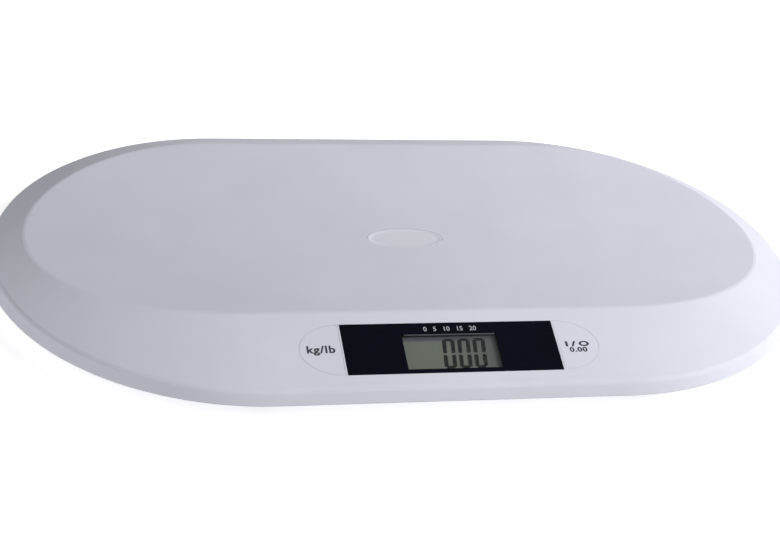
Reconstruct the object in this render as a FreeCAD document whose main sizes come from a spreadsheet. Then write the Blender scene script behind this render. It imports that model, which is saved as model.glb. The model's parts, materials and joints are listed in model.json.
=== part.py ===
import FreeCAD, Part
import math
import os
import re
import Sketcher
from FreeCAD import Placement, Rotation, Vector
from types import SimpleNamespace

# A digital baby weighing scale: a wide tray with a shallow dish and a sloping rim,
# closed from below by a base that stands on four load cell feet.
# Millimetres. X runs along the tray, -Y is the side of the display, Z is up and
# Z = 0 is the table under the feet.

SIZES = (
    # tray
    ("tray_length", 550, "over the foot of the skirt"),
    ("tray_width", 330, "over the foot of the skirt"),
    ("ground_gap", 11.5, "table to the foot of the skirt"),
    ("skirt_height", 9, "foot of the skirt to the crease"),
    ("skirt_flare", 3.6, "the skirt's foot outside its crease"),
    ("rim_rise", 18, "crease to the crest along the long sides"),
    ("rim_front_run", 56.4, "crease to the crest, level, at the display"),
    ("rim_back_run", 42.4, "crease to the crest, level, at the back"),
    ("rim_end_run", 41.4, "crease to the crest, level, at the two ends"),
    ("dish_depth", 9, "crest to the lowest line of the dish"),
    ("shell_wall", 2.5, "wall of the tray"),
    ("crest_round", 5, "rounding of the crest"),
    ("crease_round", 4, "rounding of the crease"),
    ("foot_round", 0.8, "rounding of the skirt's foot"),
    ("tray_rib", 1.6, "thickness of the ribs under the dish"),
    ("tray_rib_foot", 23.5, "height of the ribs' lower edge over the table"),
    # base
    ("base_lift", 7, "table to the underside of the base"),
    ("base_height", 7.5, "underside of the base to its upper edge"),
    ("base_wall", 2.2, "wall of the base"),
    ("base_inset", 11, "foot of the base inside the foot of the skirt"),
    ("base_gap", 0.6, "between the base's edge and the skirt"),
    ("base_chamfer", 1.6, "slope along the base's lower edge"),
    # screws that hold the tray on the base
    ("boss_radius", 4.5, "bosses of tray and base"),
    ("boss_joint", 6.5, "underside of the base to where two bosses meet"),
    ("shell_screw_radius", 1.5, "shank"),
    ("shell_screw_length", 12, "shank"),
    ("shell_head_radius", 2.8, "head"),
    ("shell_head_height", 2, "head"),
    ("shell_sink", 3.5, "depth of the hole for the head"),
    ("screw_clearance", 0.05, "round a shank in its hole"),
    ("screw_spare", 0.4, "hole beyond the end of a screw"),
    ("head_clearance", 0.5, "round a head in its hole"),
    ("boss_end_x", 235, "bosses at the two ends"),
    ("boss_mid_x", 140, "four bosses between the ends and the middle"),
    ("boss_front_inset", 79, "front bosses inside the foot of the skirt"),
    ("boss_back_inset", 70, "back bosses inside the foot of the skirt"),
    ("boss_mid_inset", 35, "boss in the middle of the back inside the foot of the skirt"),
    # display
    ("bezel_length", 135, "black display bezel"),
    ("bezel_width", 38.4, "up the slope"),
    ("bezel_thickness", 1.6, "bezel"),
    ("bezel_gap", 0.2, "round the bezel in its pocket"),
    ("aperture_length", 60, "opening over the figures"),
    ("aperture_width", 27, "opening over the figures"),
    ("aperture_drop", 2.6, "opening below the bezel's middle"),
    ("lens_lap", 1, "lens beyond the opening"),
    ("lens_gap", 0.2, "round the lens"),
    ("glass_length", 66, "liquid crystal glass"),
    ("glass_width", 31.5, "liquid crystal glass"),
    ("glass_thickness", 2.8, "liquid crystal glass"),
    ("holder_wall", 2, "frame round the glass"),
    ("holder_gap", 0.2, "round the glass in its frame"),
    ("holder_floor", 1, "under the glass"),
    ("strip_length", 60, "contact strips"),
    ("strip_width", 2.2, "contact strips"),
    ("strip_spread", 25.6, "between the two contact strips"),
    # main board
    ("board_length", 186, "along the tray"),
    ("board_width", 41, "up the slope"),
    ("board_thickness", 1.6, "main board"),
    ("board_depth", 8.4, "outer face of the slope to the board"),
    ("board_shift", 1, "middle of the board below the middle of the slope"),
    ("post_radius", 2.8, "posts that carry the board"),
    ("post_spread_x", 116, "between the two middle columns of posts"),
    ("post_spread_v", 30, "between the two rows of posts"),
    ("post_end_inset", 2.5, "end posts inside the board's ends"),
    ("post_top_inset", 2.7, "end posts inside the board's upper edge"),
    ("board_screw_radius", 1, "shank"),
    ("board_screw_length", 6, "shank"),
    ("board_head_radius", 2.2, "head"),
    ("board_head_height", 1.6, "head"),
    ("connector_length", 7.5, "lead connectors"),
    ("connector_width", 6, "lead connectors"),
    ("connector_height", 4, "lead connectors"),
    ("connector_row", 15, "connectors above the middle of the board"),
    ("chip_radius", 7, "resin cap over the chip"),
    ("chip_height", 2, "resin cap over the chip"),
    # keys
    ("key_gap", 0.3, "round a key in its opening"),
    ("key_bridge", 1, "tray between the bezel's pocket and a key's opening"),
    ("key_reach", 26, "opening, from its straight side to its round end"),
    ("key_thickness", 2.2, "top of a key"),
    ("key_wall", 1.6, "wall round a key's hollow"),
    ("key_flange", 1.2, "flange beyond the opening"),
    ("key_flange_height", 1, "flange"),
    ("key_flange_gap", 0.3, "flange under the tray's wall"),
    ("key_travel", 0.5, "stroke"),
    ("key_plunger_radius", 2.5, "plunger under a key"),
    ("switch_x", 81, "middle of a switch"),
    ("switch_side", 6.2, "push switch"),
    ("switch_height", 3.4, "push switch"),
    ("stem_radius", 1.7, "stem of a push switch"),
    ("stem_rise", 0.9, "stem over its switch"),
    ("stem_length", 2.5, "stem"),
    ("stem_gap", 0.3, "round the stem"),
    # feet
    ("foot_x", 118, "middle of a foot from the tray's middle"),
    ("foot_inset", 30, "middle of a foot inside the foot of the skirt"),
    ("cup_radius", 15, "foot cup"),
    ("cup_gap", 0.3, "round the cup in the base"),
    ("cup_round", 0.6, "slope round the cup's rim"),
    ("pad_radius", 13, "rubber pad"),
    ("pad_height", 3, "rubber pad"),
    ("pad_sink", 1, "rubber pad in its cup"),
    ("pad_gap", 0.2, "round the pad in its cup"),
    ("flange_overlap", 1, "cup's flange beyond the base's hole"),
    ("flange_height", 1.4, "cup's flange"),
    ("flange_gap", 0.2, "flange over the base's floor"),
    ("well_gap", 0.4, "round the flange in its well"),
    ("well_wall", 1.8, "wall of the well"),
    ("cell_gap", 0.4, "cup's flange to the load cell"),
    ("cell_side", 28, "square load cell"),
    ("cell_thickness", 2.5, "load cell"),
    ("cell_frame", 5, "outer frame of the load cell"),
    ("cell_slot", 1.6, "slot round the load cell's tongue"),
    ("cup_stem_radius", 4, "pillar of the cup under the tongue"),
    ("gauge_length", 8, "strain gauge"),
    ("gauge_width", 6, "strain gauge"),
    ("gauge_thickness", 0.5, "strain gauge"),
    ("clamp_side", 30, "clamp over the load cell"),
    ("clamp_height", 2.5, "clamp"),
    ("clamp_hole_radius", 8, "clamp"),
    ("clamp_screw_x", 20, "clamp screws from the foot's middle"),
    ("clamp_ear_width", 8, "ears of the clamp"),
    ("clamp_boss_radius", 3, "bosses under the clamp's ears"),
    # battery bay
    ("bay_y", 55, "middle of the battery bay"),
    ("battery_radius", 5.2, "battery"),
    ("battery_length", 43.7, "battery without its stud"),
    ("battery_stud", 0.8, "stud of a battery"),
    ("battery_stud_radius", 1.9, "stud of a battery"),
    ("battery_gap", 0.4, "between and over the batteries"),
    ("spring_room", 5.2, "squeezed spring with its plate"),
    ("contact_thickness", 0.4, "contact plates"),
    ("contact_side", 8, "contact plates"),
    ("spring_wire_radius", 0.3, "contact spring"),
    ("spring_radius", 2.8, "contact spring"),
    ("spring_turns", 3, "contact spring"),
    ("bay_wall", 1.6, "walls of the bay"),
    ("door_length", 62, "along the tray"),
    ("door_width", 31, "front to back"),
    ("door_thickness", 2, "battery door"),
    ("door_gap", 0.4, "round the door"),
    ("door_seat", 0.2, "between the door and its ledge"),
    ("door_frame", 3.4, "thick frame round the door"),
    ("tab_length", 2.5, "tabs behind the door's hinge edge"),
    ("tab_width", 6, "tabs"),
    ("tab_thickness", 1, "tabs"),
    ("tab_spread", 40, "between the two tabs"),
    ("tab_gap", 0.1, "under the tabs"),
    ("tab_room", 6.4, "slot that a tab swings in"),
    ("latch_width", 12, "springy tongue of the door"),
    ("latch_length", 9, "springy tongue of the door"),
    ("latch_slot", 0.8, "slot round the tongue"),
    ("latch_nose", 0.2, "nose of the tongue"),
    ("dip_radius", 12, "finger dip in the tongue"),
    ("dip_depth", 0.7, "finger dip in the tongue"),
    # badge
    ("badge_length", 52, "oval badge"),
    ("badge_width", 26, "oval badge"),
    ("badge_thickness", 0.8, "oval badge"),
    ("badge_y", -2, "middle of the badge"),
    ("badge_gap", 0.15, "round the badge"),
    ("badge_sink", 1, "depth of its recess at the dish's lowest line"),
    # label recess and leads
    ("label_length", 90, "bare recess under the base"),
    ("label_width", 42, "bare recess under the base"),
    ("label_depth", 0.4, "bare recess under the base"),
    ("label_y", -25, "middle of the recess"),
    ("lead_radius", 1.1, "leads of the load cells"),
    ("wire_radius", 0.7, "battery wires"),
    ("wire_spread", 4, "between the battery wires at their connector"),
    ("lead_lift", 0.3, "leads over the base's floor"),
    ("lead_bend", 6, "bends of leads and wires"),
    ("lead_run_in", 12, "straight run into a connector"),
    ("lead_lane_x", 94, "lanes of the leads along the base's floor"),
    ("front_lane_run", 28, "crossing of the front leads before their last run"),
    ("back_lane_run", 36, "crossing of the other leads before their last run"),
    ("lead_exit", 9, "exit of a lead beside its load cell's middle"),
)

RIM_OVERRUN = 1.2  # the rim is built a fifth past the crest, and the dish cuts it back
LONG_RIBS = (-0.42, 0, 0.42)  # places of the ribs, as shares of the crest outline
CROSS_RIBS = (-0.42, -0.14, 0.14, 0.42)
RIB_SPAN = 0.8  # share of the crest's width that the cross ribs span
COIL_STEPS = 10  # bends in a turn of a contact spring
CONNECTOR_X = {"front_left": -78, "back_left": -66, "back_right": 66, "front_right": 78, "battery": -46}
NAMES = {name for name, value, note in SIZES}

doc = FreeCAD.newDocument("baby_scale")
sheet = doc.addObject("Spreadsheet::Sheet", "sizes")
for row, (name, value, note) in enumerate(SIZES, 1):
    sheet.set(f"A{row}", name)
    sheet.set(f"B{row}", str(value))
    sheet.set(f"C{row}", note)
    sheet.setAlias(f"B{row}", name)
doc.recompute()
s = SimpleNamespace(**{name: float(sheet.get(name)) for name in NAMES})

# --- levels and frames that follow from the sizes --------------------------------

crest_length = s.tray_length - 2 * (s.skirt_flare + s.rim_end_run)
crest_width = s.tray_width - 2 * s.skirt_flare - s.rim_front_run - s.rim_back_run
crest_offset = (s.rim_front_run - s.rim_back_run) / 2
foot_y = s.tray_width / 2 - s.foot_inset
crease_z = s.ground_gap + s.skirt_height
crest_z = crease_z + s.rim_rise
dish_z = crest_z - s.dish_depth
dish_radius = ((crest_width / 2) ** 2 + s.dish_depth ** 2) / (2 * s.dish_depth)
floor_z = s.base_lift + s.base_wall
joint_z = s.base_lift + s.boss_joint

# The front slope: local X is the tray's X, local Y climbs the slope from the
# crease, and local Z leaves the outer face.
slope_angle = math.degrees(math.atan2(s.rim_rise, s.rim_front_run))
slope_width = math.hypot(s.rim_rise, s.rim_front_run)
slope_foot = Vector(0, -s.tray_width / 2 + s.skirt_flare, crease_z)
slope_frame = Placement(slope_foot, Rotation(Vector(1, 0, 0), slope_angle))
bezel_v = slope_width / 2
aperture_v = bezel_v - s.aperture_drop
board_v = bezel_v - s.board_shift
board_top = -s.board_depth
board_foot = board_top - s.board_thickness
key_straight = s.bezel_length / 2 + s.bezel_gap + s.key_bridge
key_half = s.bezel_width / 2

parts = []


# --- helpers ------------------------------------------------------------------------

def linked(formula):
    """The formula with each size's name pointing at its cell in the sheet."""
    def cell(word):
        return "sizes." + word[0] if word[0] in NAMES else word[0]

    return re.sub(r"[a-z][a-z_0-9]*", cell, formula)


def bind(thing, **formulas):
    for name, formula in formulas.items():
        thing.setExpression(name, linked(formula))


def at(x=0.0, y=0.0, z=0.0):
    return Placement(Vector(x, y, z), Rotation())


def on_slope(x=0.0, v=0.0, w=0.0):
    return slope_frame.multiply(at(x, v, w))


def turned_down(place):
    """The same place with its Z the other way."""
    return place.multiply(Placement(Vector(), Rotation(Vector(1, 0, 0), 180)))


def box(name, length, width, height, place):
    """A box on its middle: place is the middle of its lower face."""
    thing = doc.addObject("Part::Box", name)
    bind(thing, Length=length, Width=width, Height=height)
    doc.recompute([thing])
    thing.Placement = place.multiply(at(-thing.Length.Value / 2, -thing.Width.Value / 2, 0))
    return thing


def cylinder(name, radius, height, place):
    thing = doc.addObject("Part::Cylinder", name)
    bind(thing, Radius=radius, Height=height)
    thing.Placement = place
    return thing


def solid(name, shape, place=None):
    thing = doc.addObject("Part::Feature", name)
    thing.Shape = shape
    if place is not None:
        thing.Placement = place
    return thing


def fuse(name, things):
    if len(things) == 1:
        return things[0]
    thing = doc.addObject("Part::MultiFuse", name)
    thing.Shapes = things
    return thing


def cut(name, base, tools):
    thing = doc.addObject("Part::Cut", name)
    thing.Base = base
    thing.Tool = fuse(name + "_tools", tools)
    return thing


def group(name, things):
    thing = doc.addObject("Part::Compound", name)
    thing.Links = things
    return thing


def rounded(name, base, *rounds):
    """Round edges of base: each of rounds is (radius, test of an edge)."""
    doc.recompute()
    thing = doc.addObject("Part::Fillet", name)
    thing.Base = base
    picked = {}
    for radius, wanted in rounds:
        for number, edge in enumerate(base.Shape.Edges, 1):
            if wanted(edge):
                picked[number] = (number, radius, radius)
    thing.Edges = list(picked.values())
    return thing


def part(label, thing):
    """Register a finished sub-part. Its label is the name of its file."""
    thing.Label = label
    parts.append(thing)
    return thing


def plane(body, role):
    return next(feature for feature in body.Origin.OriginFeatures if feature.Role == role)


def add_sketch(body, name, role):
    sketch = body.newObject("Sketcher::SketchObject", name)
    sketch.AttachmentSupport = [(plane(body, role), "")]
    sketch.MapMode = "FlatFace"
    return sketch


def dimension(sketch, name, formula, kind, *where):
    number = sketch.addConstraint(Sketcher.Constraint(kind, *where))
    sketch.renameConstraint(number, name)
    sketch.setExpression("Constraints." + name, linked(formula))


def slot_sketch(body, name, level, length, width, shift, start):
    """A slot outline with round ends at a level: length over the ends, width across."""
    sketch = add_sketch(body, name, "XY_Plane")
    sketch.setExpression("AttachmentOffset.Base.z", linked(level))
    half, radius, side = start
    up = Vector(0, 0, 1)
    right_end = Part.Circle(Vector(half, side), up, radius)
    left_end = Part.Circle(Vector(-half, side), up, radius)
    sketch.addGeometry(Part.LineSegment(Vector(-half, side - radius), Vector(half, side - radius)))
    sketch.addGeometry(Part.ArcOfCircle(right_end, -math.pi / 2, math.pi / 2))
    sketch.addGeometry(Part.LineSegment(Vector(half, side + radius), Vector(-half, side + radius)))
    sketch.addGeometry(Part.ArcOfCircle(left_end, math.pi / 2, 3 * math.pi / 2))
    for first, first_end, second, second_end in ((0, 2, 1, 1), (1, 2, 2, 1), (2, 2, 3, 1), (3, 2, 0, 1)):
        sketch.addConstraint(Sketcher.Constraint("Tangent", first, first_end, second, second_end))
    sketch.addConstraint(Sketcher.Constraint("Equal", 1, 3))
    centre = f"(({length}) - ({width})) / 2"
    dimension(sketch, "end_radius", f"({width}) / 2", "Radius", 1, radius)
    dimension(sketch, "right_centre", centre, "DistanceX", -1, 1, 1, 3, half)
    dimension(sketch, "left_centre", centre, "DistanceX", 3, 3, -1, 1, half)
    dimension(sketch, "right_shift", shift, "DistanceY", -1, 1, 1, 3, side)
    dimension(sketch, "left_shift", shift, "DistanceY", -1, 1, 3, 3, side)
    return sketch


def slot_loft(name, *sections):
    """A body that runs straight through slot outlines, one above the other."""
    body = doc.addObject("PartDesign::Body", name)
    sketches = [slot_sketch(body, f"{name}_outline_{number}", *section)
                for number, section in enumerate(sections)]
    doc.recompute()
    for number, (low, high) in enumerate(zip(sketches, sketches[1:])):
        loft = body.newObject("PartDesign::AdditiveLoft", f"{name}_run_{number}")
        loft.Profile = (low, [""])
        loft.Sections = [(high, [""])]
        loft.Ruled = True
    return body


def turned(name, corners, place):
    """A body turned about its own Z axis from corners of (radius, height) formulas."""
    body = doc.addObject("PartDesign::Body", name)
    sketch = add_sketch(body, name + "_section", "XZ_Plane")
    count = len(corners)
    guess = [Vector(20 + 10 * math.cos(2 * math.pi * k / count), 10 * math.sin(2 * math.pi * k / count))
             for k in range(count)]
    for k in range(count):
        sketch.addGeometry(Part.LineSegment(guess[k], guess[(k + 1) % count]))
    for k in range(count):
        sketch.addConstraint(Sketcher.Constraint("Coincident", k, 2, (k + 1) % count, 1))
    for k, (radius, height) in enumerate(corners):
        if radius == "0":
            sketch.addConstraint(Sketcher.Constraint("PointOnObject", k, 1, -2))
        else:
            dimension(sketch, f"radius_{k}", radius, "DistanceX", -1, 1, k, 1, guess[k].x)
        if height == "0":
            sketch.addConstraint(Sketcher.Constraint("PointOnObject", k, 1, -1))
        else:
            dimension(sketch, f"height_{k}", height, "DistanceY", -1, 1, k, 1, guess[k].y)
    doc.recompute()
    turn = body.newObject("PartDesign::Revolution", name + "_turn")
    turn.Profile = sketch
    turn.ReferenceAxis = (sketch, ["V_Axis"])
    turn.Angle = 360
    body.Placement = place
    return body


def screw(name, shank, length, head, head_height, place):
    """A screw that points along its own -Z, with its head's underside at its origin."""
    corners = (("0", f"-({length})"), (shank, f"-({length})"), (shank, "0"), (head, "0"),
               (head, head_height), ("0", head_height))
    return turned(name, corners, place)


def half_oval(straight, reach, half, low, high, side):
    """Half an oval with a straight side at local X = side * straight, from low to high."""
    foot = Vector(side * straight, 0, low)
    across = Vector(0, half, 0)
    middle = 0 if side > 0 else math.pi
    arc = Part.Ellipse(foot, reach, half).toShape(middle - math.pi / 2, middle + math.pi / 2)
    wire = Part.Wire(Part.__sortEdges__([arc, Part.makeLine(foot - across, foot + across)]))
    return Part.Face(wire).extrude(Vector(0, 0, high - low))


def tube(points, radius, bend):
    """A lead of straight runs joined by tangent arcs; returns its solid."""
    edges = []
    start = points[0]
    length = 0.0
    for before, corner, after in zip(points, points[1:], points[2:]):
        back = (before - corner).normalize()
        ahead = (after - corner).normalize()
        turn = math.pi - back.getAngle(ahead)
        room = 0.45 * min((before - corner).Length, (after - corner).Length)
        arc_radius = min(bend, room / math.tan(turn / 2))
        reach = arc_radius * math.tan(turn / 2)
        first = corner + back * reach
        last = corner + ahead * reach
        inward = (back + ahead).normalize()
        middle = corner + inward * (arc_radius / math.cos(turn / 2) - arc_radius)
        edges.append(Part.LineSegment(start, first).toShape())
        edges.append(Part.Arc(first, middle, last).toShape())
        length += (first - start).Length + arc_radius * turn
        start = last
    edges.append(Part.LineSegment(start, points[-1]).toShape())
    length += (points[-1] - start).Length
    path = Part.Wire(edges)
    section = Part.Wire(Part.Circle(points[0], points[1] - points[0], radius).toShape())
    lead = path.makePipeShell([section], True, False)
    wanted = math.pi * radius ** 2 * length
    if abs(lead.Volume - wanted) > 0.02 * wanted:
        raise RuntimeError(f"a lead has volume {lead.Volume:.1f}, not {wanted:.1f}")
    return lead


# --- tray -----------------------------------------------------------------------------

CREASE_LENGTH = "tray_length - 2 * skirt_flare"
CREASE_WIDTH = "tray_width - 2 * skirt_flare"
CREASE_LEVEL = "ground_gap + skirt_height"
CREST_LENGTH = "(tray_length - 2 * (skirt_flare + rim_end_run))"
CREST_WIDTH = "(tray_width - 2 * skirt_flare - rim_front_run - rim_back_run)"
CREST_OFFSET = "(rim_front_run - rim_back_run) / 2"
# wall of the skirt measured level, and of the slope measured upright
SKIRT_WALL = "shell_wall * sqrt(1 + (skirt_flare / skirt_height) ^ 2)"
SLOPE_TAN = "(rim_rise / rim_front_run)"
SLOPE_WALL = f"shell_wall * sqrt(1 + {SLOPE_TAN} ^ 2)"


def overrun(crest, crease):
    """The crest outline's size carried past the crest by the overrun."""
    return f"({crease}) + {RIM_OVERRUN} * ({crest} - ({crease}))"


def crest_start():
    return ((crest_length - crest_width) / 2, crest_width / 2, crest_offset)


def dish_cutter(name, wall):
    """The long cylinder that hollows the dish, with its axis over the tray."""
    radius = dish_radius + wall
    length = s.tray_length * 1.2
    axis = Placement(Vector(-length / 2, crest_offset, dish_z + dish_radius), Rotation(Vector(0, 1, 0), 90))
    return solid(name, Part.makeCylinder(radius, length), axis)


def tray_block():
    """The tray's outside: skirt and sloping rim, hollowed by the dish and rounded."""
    start = ((s.tray_length - s.tray_width) / 2, s.tray_width / 2, 0)
    block = slot_loft(
        "tray_block",
        ("ground_gap", "tray_length", "tray_width", "0", start),
        (CREASE_LEVEL, CREASE_LENGTH, CREASE_WIDTH, "0", start),
        (f"{CREASE_LEVEL} + {RIM_OVERRUN} * rim_rise", overrun(CREST_LENGTH, CREASE_LENGTH),
         overrun(CREST_WIDTH, CREASE_WIDTH), f"{CREST_OFFSET} * {RIM_OVERRUN}", crest_start()),
    )
    dished = cut("tray_dished", block, [dish_cutter("dish_cutter", 0)])
    doc.recompute()
    dish = next(face for face in dished.Shape.Faces
                if isinstance(face.Surface, Part.Cylinder) and abs(face.Surface.Radius - dish_radius) < 0.01)
    crest = {edge.hashCode() for edge in dish.Edges}

    def level(edge, height):
        return edge.BoundBox.ZMin > height - 0.01 and edge.BoundBox.ZMax < height + 0.01

    return rounded(
        "tray_outside", dished,
        (s.crest_round, lambda edge: edge.hashCode() in crest),
        (s.crease_round, lambda edge: level(edge, crease_z)),
        (s.foot_round, lambda edge: level(edge, s.ground_gap)),
    )


def tray_hollow():
    """The space inside the tray, one wall below its outside."""
    start = ((s.tray_length - s.tray_width) / 2, s.tray_width / 2 - s.shell_wall, 0)
    skirt = f"2 * {SKIRT_WALL}"
    inner_crease = f"{CREASE_LEVEL} - {SLOPE_WALL} + shell_wall * {SLOPE_TAN}"
    hollow = slot_loft(
        "tray_hollow",
        ("ground_gap", f"tray_length - {skirt}", f"tray_width - {skirt}", "0", start),
        (inner_crease, f"{CREASE_LENGTH} - 2 * shell_wall", f"{CREASE_WIDTH} - 2 * shell_wall", "0", start),
        (f"{CREASE_LEVEL} + {RIM_OVERRUN} * rim_rise - {SLOPE_WALL}", overrun(CREST_LENGTH, CREASE_LENGTH),
         overrun(CREST_WIDTH, CREASE_WIDTH), f"{CREST_OFFSET} * {RIM_OVERRUN}", crest_start()),
    )
    return cut("tray_hollow_dished", hollow, [dish_cutter("dish_wall_cutter", s.shell_wall)])


def boss_places():
    edge = s.tray_width / 2
    front = s.boss_front_inset - edge
    ends = [(side * s.boss_end_x, 0) for side in (-1, 1)]
    middle = [(0, front), (0, edge - s.boss_mid_inset)]
    corners = [(side * s.boss_mid_x, y) for side in (-1, 1) for y in (front, edge - s.boss_back_inset)]
    return ends + middle + corners


def post_places():
    inner = [(side * s.post_spread_x / 2, board_v + row * s.post_spread_v / 2)
             for side in (-1, 1) for row in (-1, 1)]
    end = s.board_length / 2 - s.post_end_inset
    return inner + [(side * end, board_v + s.board_width / 2 - s.post_top_inset) for side in (-1, 1)]


def tray_supports():
    """Bosses, ribs and board posts that stand in the tray's hollow."""
    tall = "ground_gap + skirt_height + rim_rise - base_lift - boss_joint"
    things = []
    for number, (x, y) in enumerate(boss_places()):
        things.append(cylinder(f"tray_boss_{number}", "boss_radius", tall, at(x, y, joint_z)))
    for number, (x, v) in enumerate(post_places()):
        things.append(cylinder(f"board_post_{number}", "post_radius", "board_depth - shell_wall / 2",
                               on_slope(x, v, board_top)))
    reach_x = crest_length - crest_width / 2
    reach_y = crest_width * RIB_SPAN
    height = crest_z - s.tray_rib_foot
    for number, share in enumerate(LONG_RIBS):
        place = at(-reach_x / 2, crest_offset + share * crest_width - s.tray_rib / 2, s.tray_rib_foot)
        things.append(solid(f"long_rib_{number}", Part.makeBox(reach_x, s.tray_rib, height), place))
    for number, share in enumerate(CROSS_RIBS):
        place = at(share * reach_x - s.tray_rib / 2, crest_offset - reach_y / 2, s.tray_rib_foot)
        things.append(solid(f"cross_rib_{number}", Part.makeBox(s.tray_rib, reach_y, height), place))
    return things


def key_opening(side):
    low = -s.shell_wall * 2
    shape = half_oval(key_straight, s.key_reach, key_half, low, s.shell_wall, side)
    return solid(f"key_opening_{side}", shape, on_slope(0, bezel_v))


def tray_openings():
    """What is cut through the tray's wall after it is hollowed."""
    things = [
        box("bezel_pocket", "bezel_length + 2 * bezel_gap", "bezel_width + 2 * bezel_gap",
            "bezel_thickness + 2", on_slope(0, bezel_v, -s.bezel_thickness)),
        box("lens_opening", "aperture_length + 2 * lens_lap + 2 * lens_gap",
            "aperture_width + 2 * lens_lap + 2 * lens_gap", "shell_wall + 1",
            on_slope(0, aperture_v, -s.shell_wall - 0.5)),
        key_opening(-1),
        key_opening(1),
    ]
    oval = Part.Ellipse(Vector(), s.badge_length / 2 + s.badge_gap, s.badge_width / 2 + s.badge_gap)
    recess = Part.Face(Part.Wire(oval.toShape())).extrude(Vector(0, 0, s.dish_depth))
    things.append(solid("badge_recess", recess, at(0, s.badge_y, dish_z - s.badge_sink)))
    depth = "shell_screw_length - boss_joint + shell_sink + screw_spare"
    for number, (x, y) in enumerate(boss_places()):
        things.append(cylinder(f"tray_pilot_{number}", "shell_screw_radius + screw_clearance",
                               depth, at(x, y, joint_z)))
    for number, (x, v) in enumerate(post_places()):
        things.append(cylinder(f"post_pilot_{number}", "board_screw_radius + screw_clearance",
                               "board_screw_length - board_thickness + screw_spare",
                               on_slope(x, v, board_top)))
    return things


def make_tray():
    outside = tray_block()
    space = cut("tray_space", tray_hollow(), tray_supports())
    hollowed = cut("tray_hollowed", outside, [space])
    part("upper_shell", cut("upper_shell", hollowed, tray_openings()))


# --- base ------------------------------------------------------------------------------

def foot_places():
    """Each foot's name, middle and the signs of its X and Y."""
    ends = (("left", -1), ("right", 1))
    sides = (("front", -1), ("back", 1))
    return [(f"{side}_{end}", x_sign * s.foot_x, y_sign * foot_y, x_sign, y_sign)
            for side, y_sign in sides for end, x_sign in ends]


cell_z = floor_z + s.flange_gap + s.flange_height + s.cell_gap
clamp_z = cell_z + s.cell_thickness
well_radius = s.cup_radius + s.cup_gap + s.flange_overlap + s.well_gap
CELL_LEVEL = "(base_wall + flange_gap + flange_height + cell_gap)"  # over the base's underside
WELL_RADIUS = "(cup_radius + cup_gap + flange_overlap + well_gap)"
BAY_LENGTH = "(battery_length + battery_stud + spring_room + contact_thickness)"
BAY_WIDTH = "(4 * battery_radius + 3 * battery_gap)"
LEDGE = "(door_thickness + door_seat)"
BAY_HEIGHT = f"({LEDGE} + 2 * battery_radius + 2 * battery_gap)"  # from the base's underside
bay_length = s.battery_length + s.battery_stud + s.spring_room + s.contact_thickness
battery_z = s.base_lift + s.door_thickness + s.door_seat + s.battery_gap + s.battery_radius
hinge_y = s.bay_y + s.door_width / 2


def base_supports():
    """Bosses, foot wells and the battery bay that stand on the base's floor."""
    things = []
    for number, (x, y) in enumerate(boss_places()):
        things.append(cylinder(f"base_boss_{number}", "boss_radius", "boss_joint", at(x, y, s.base_lift)))
    for name, x, y, *signs in foot_places():
        things.append(cylinder(f"well_{name}", f"{WELL_RADIUS} + well_wall",
                               f"{CELL_LEVEL} - cell_gap / 2", at(x, y, s.base_lift)))
        for ear in (-1, 1):
            place = at(x + ear * s.clamp_screw_x, y, s.base_lift)
            things.append(cylinder(f"clamp_boss_{name}_{ear + 1}", "clamp_boss_radius",
                                   f"{CELL_LEVEL} + cell_thickness", place))
    things.append(box("bay_block", f"{BAY_LENGTH} + 2 * bay_wall", f"{BAY_WIDTH} + 2 * bay_wall",
                      f"{BAY_HEIGHT} + bay_wall", at(0, s.bay_y, s.base_lift)))
    things.append(box("door_frame_block", "door_length + 2 * door_gap + 2 * door_frame",
                      "door_width + 2 * door_gap + 2 * door_frame", f"{LEDGE} + base_wall",
                      at(0, s.bay_y, s.base_lift)))
    return things


def base_openings():
    things = []
    for number, (x, y) in enumerate(boss_places()):
        things.append(cylinder(f"base_hole_{number}", "shell_screw_radius + head_clearance / 2",
                               "boss_joint + 1", at(x, y, s.base_lift)))
        things.append(cylinder(f"base_sink_{number}", "shell_head_radius + head_clearance",
                               "shell_sink + 1", at(x, y, s.base_lift - 1)))
    for name, x, y, *signs in foot_places():
        things.append(cylinder(f"foot_hole_{name}", "cup_radius + cup_gap", f"{CELL_LEVEL} + 1",
                               at(x, y, s.base_lift - 1)))
        things.append(cylinder(f"well_bore_{name}", WELL_RADIUS, CELL_LEVEL, at(x, y, floor_z)))
        for ear in (-1, 1):
            place = turned_down(at(x + ear * s.clamp_screw_x, y, clamp_z))
            things.append(cylinder(f"clamp_pilot_{name}_{ear + 1}", "board_screw_radius + screw_clearance",
                                   "board_screw_length - clamp_height + screw_spare", place))
    below = at(0, s.bay_y, s.base_lift - 1)
    things.append(box("bay_space", BAY_LENGTH, BAY_WIDTH, f"{BAY_HEIGHT} + 1", below))
    things.append(box("door_recess", "door_length + 2 * door_gap", "door_width + 2 * door_gap",
                      f"{LEDGE} + 1", below))
    lip = s.door_thickness - s.tab_thickness - s.tab_gap
    for number, side in enumerate((-1, 1)):
        place = at(side * s.tab_spread / 2, hinge_y, s.base_lift + lip)
        things.append(box(f"tab_slot_{number}", "tab_width + 2 * door_gap", "tab_room",
                          "tab_length + tab_thickness + base_wall", place))
    things.append(box("label_recess", "label_length", "label_width", "label_depth + 1",
                      at(0, s.label_y, s.base_lift - 1)))
    return things


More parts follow.
